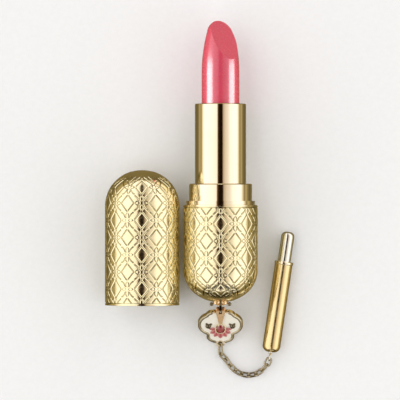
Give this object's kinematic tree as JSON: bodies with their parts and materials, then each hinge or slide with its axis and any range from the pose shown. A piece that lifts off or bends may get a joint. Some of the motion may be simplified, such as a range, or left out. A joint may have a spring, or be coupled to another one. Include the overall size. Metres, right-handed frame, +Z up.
{
  "type": "lipstick case",
  "caption": "Domed twist-up lipstick case lying open beside its cap, with a slanted bullet, a lattice relief, a cloud charm on a bail, a fine chain and a slim lip brush.",
  "frame": {"origin": "on the lipstick's axis, in the plane where the cap's mouth seats on the seat ring", "axes": "+Y along the lipstick's axis towards the bullet, +X to the right with the cap on the left, +Z up from the surface that the case lies on"},
  "size_m": [0.0595, 0.1124, 0.0232],
  "materials": {
    "relief_gold": "drawn brass with a pressed lattice relief, polished and gold plated",
    "polished_gold": "mirror-polished pale gold plating",
    "satin_gold": "satin gold plating",
    "chain_gold": "bright gold-plated wire",
    "rose_gold": "warm rose-gold plating",
    "dark_bronze": "dark antique bronze",
    "pale_metal": "pale silver satin",
    "weight_steel": "bare turned steel",
    "moulded_plastic": "cream moulded plastic",
    "slick_plastic": "low-friction acetal",
    "soft_rubber": "soft silicone rubber",
    "lipstick_wax": "smooth coral-pink wax with a soft sheen",
    "white_enamel": "glossy ivory enamel",
    "rose_enamel": "rose enamel line work",
    "red_stone": "deep red cut glass",
    "nylon": "fine brown nylon bristles"
  },
  "bodies": {
    "case": {"base_shell": "relief_gold", "base_core": "moulded_plastic", "base_weight": "weight_steel", "seat_ring": "polished_gold", "collar": "polished_gold", "bearing_sleeve": "slick_plastic", "brake_ring": "soft_rubber", "guide_tube": "slick_plastic", "calyx": "rose_gold", "calyx_beads": "dark_bronze", "finial_stem": "polished_gold", "bail_pin": "polished_gold"},
    "sleeve": {"inner_tube": "polished_gold", "spiral_tube": "slick_plastic"},
    "carrier": {"carrier_cup": "slick_plastic", "carrier_lugs": "slick_plastic", "bullet": "lipstick_wax"},
    "cap": {"cap_shell": "relief_gold", "cap_liner": "moulded_plastic", "cap_grip_ring": "soft_rubber"},
    "bail": {"bail": "rose_gold", "bail_rivet": "dark_bronze"},
    "charm": {"charm_tray": "polished_gold", "charm_enamel": "white_enamel", "gem_setting": "polished_gold", "gem": "red_stone", "side_beads": "dark_bronze", "lotus_scroll": "rose_enamel"},
    "long_link": {"long_link": "chain_gold"},
    "chain_link_01": {"chain_link_01": "chain_gold"},
    "chain_link_02": {"chain_link_02": "chain_gold"},
    "chain_link_03": {"chain_link_03": "chain_gold"},
    "chain_link_04": {"chain_link_04": "chain_gold"},
    "chain_link_05": {"chain_link_05": "chain_gold"},
    "chain_link_06": {"chain_link_06": "chain_gold"},
    "chain_link_07": {"chain_link_07": "chain_gold"},
    "chain_link_08": {"chain_link_08": "chain_gold"},
    "chain_link_09": {"chain_link_09": "chain_gold"},
    "brush": {"brush_barrel": "satin_gold", "brush_band": "polished_gold", "brush_ferrule": "pale_metal", "brush_bristles": "nylon", "brush_eye": "pale_metal"},
    "brush_cap": {"brush_cap": "pale_metal"}
  },
  "joints": [
    {"name": "sleeve_twist", "type": "hinge", "parent": "case", "child": "sleeve", "pos_m": [0, 0, 0], "axis": [0, 1, 0], "range_deg": [0, 540]},
    {"name": "bullet_lift", "type": "slide", "parent": "case", "child": "carrier", "axis": [0, 1, 0], "range_m": [-0.0266, 0]},
    {"name": "cap_pull", "type": "slide", "parent": "case", "child": "cap", "axis": [0, 1, 0], "range_m": [0, 0.0326]},
    {"name": "bail_swing", "type": "hinge", "parent": "case", "child": "bail", "pos_m": [0, -0.0339, 0], "axis": [1, 0, 0], "range_deg": [-100, 44]},
    {"name": "charm_turn", "type": "hinge", "parent": "bail", "child": "charm", "pos_m": [0, -0.03745, -0.00338], "axis": [0, -0.6896, 0.7242], "range_deg": [-8, 8]},
    {"name": "long_link_bend", "type": "hinge", "parent": "charm", "child": "long_link", "pos_m": [0, -0.04495, -0.01029], "axis": [0, 0, 1], "range_deg": [-30, 4]},
    {"name": "chain_link_01_bend", "type": "hinge", "parent": "long_link", "child": "chain_link_01", "pos_m": [0.00015, -0.04845, -0.01053], "axis": [0, 0, -1], "range_deg": [-2, 40]},
    {"name": "chain_link_02_bend", "type": "hinge", "parent": "chain_link_01", "child": "chain_link_02", "pos_m": [0.0018, -0.05004, -0.01073], "axis": [0, 0, 1], "range_deg": [-34, 5]},
    {"name": "chain_link_03_bend", "type": "hinge", "parent": "chain_link_02", "child": "chain_link_03", "pos_m": [0.00309, -0.05195, -0.01073], "axis": [0, 0, -1], "range_deg": [-5, 40]},
    {"name": "chain_link_04_bend", "type": "hinge", "parent": "chain_link_03", "child": "chain_link_04", "pos_m": [0.00469, -0.0536, -0.01073], "axis": [0, 0, 1], "range_deg": [-40, 5]},
    {"name": "chain_link_05_bend", "type": "hinge", "parent": "chain_link_04", "child": "chain_link_05", "pos_m": [0.00672, -0.05468, -0.01073], "axis": [0, 0, -1], "range_deg": [-5, 40]},
    {"name": "chain_link_06_bend", "type": "hinge", "parent": "chain_link_05", "child": "chain_link_06", "pos_m": [0.00898, -0.05508, -0.01073], "axis": [0, 0, 1], "range_deg": [-40, 5]},
    {"name": "chain_link_07_bend", "type": "hinge", "parent": "chain_link_06", "child": "chain_link_07", "pos_m": [0.01125, -0.05468, -0.01073], "axis": [0, 0, -1], "range_deg": [-5, 40]},
    {"name": "chain_link_08_bend", "type": "hinge", "parent": "chain_link_07", "child": "chain_link_08", "pos_m": [0.01319, -0.05347, -0.01049], "axis": [0, 0, 1], "range_deg": [-40, 5]},
    {"name": "chain_link_09_bend", "type": "hinge", "parent": "chain_link_08", "child": "chain_link_09", "pos_m": [0.01464, -0.05175, -0.01002], "axis": [0, 0, -1], "range_deg": [-5, 40]},
    {"name": "brush_hang", "type": "hinge", "parent": "chain_link_09", "child": "brush", "pos_m": [0.0155, -0.0498, -0.00915], "axis": [0, 0, 1], "range_deg": [-40, 5]},
    {"name": "brush_cap_pull", "type": "slide", "parent": "brush", "child": "brush_cap", "axis": [0.1478, 0.989, 0], "range_m": [0, 0.014]}
  ],
  "couplings": [
    {"joint": "sleeve_twist", "follows": "bullet_lift", "rad_per_m": -354.31}
  ]
}
